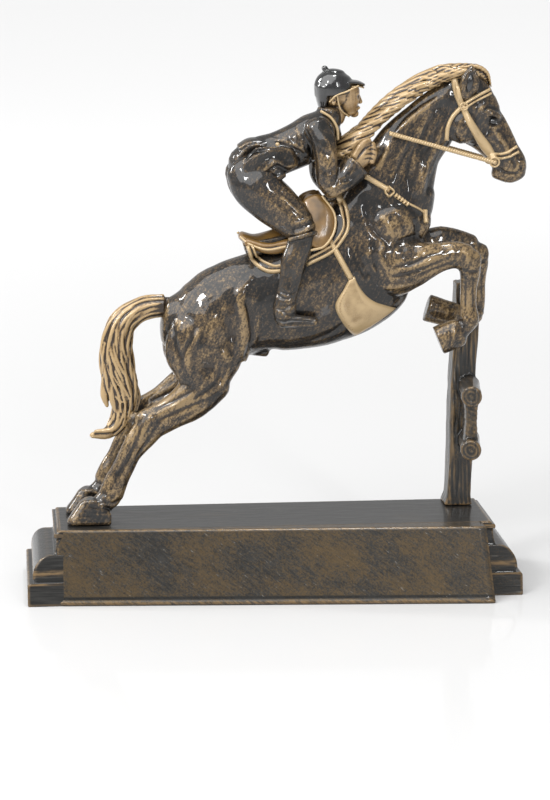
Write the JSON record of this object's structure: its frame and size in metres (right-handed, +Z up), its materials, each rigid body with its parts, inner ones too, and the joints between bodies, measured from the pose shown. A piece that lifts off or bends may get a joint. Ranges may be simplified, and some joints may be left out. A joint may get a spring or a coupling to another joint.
{
  "type": "equestrian trophy",
  "caption": "Trophy figure of a horse and rider jumping a rail fence, cast in resin with a bronze finish, on a moulded rectangular plinth with a bare front panel.",
  "frame": {"origin": "middle of the plinth's moulded bottom slab, on the underside", "axes": "+Z up, +X the way the horse jumps, -Y the side of the front panel"},
  "size_m": [0.2114, 0.0764, 0.2224],
  "materials": {
    "plinth_patina": "grey-black patina on cast resin, dry-brushed with bronze, satin lacquer",
    "bronze_patina": "near-black patina on cast resin, raised forms dry-brushed with bronze, gloss lacquer",
    "fence_patina": "grey-black patina with bronze edges on a wood-grain casting",
    "gilt": "pale gold paint with brown in the recesses"
  },
  "bodies": {
    "root": {"plinth": "plinth_patina", "horse_and_rider": "bronze_patina", "fence": "fence_patina", "near_rein": "gilt", "far_rein": "gilt"}
  },
  "joints": []
}
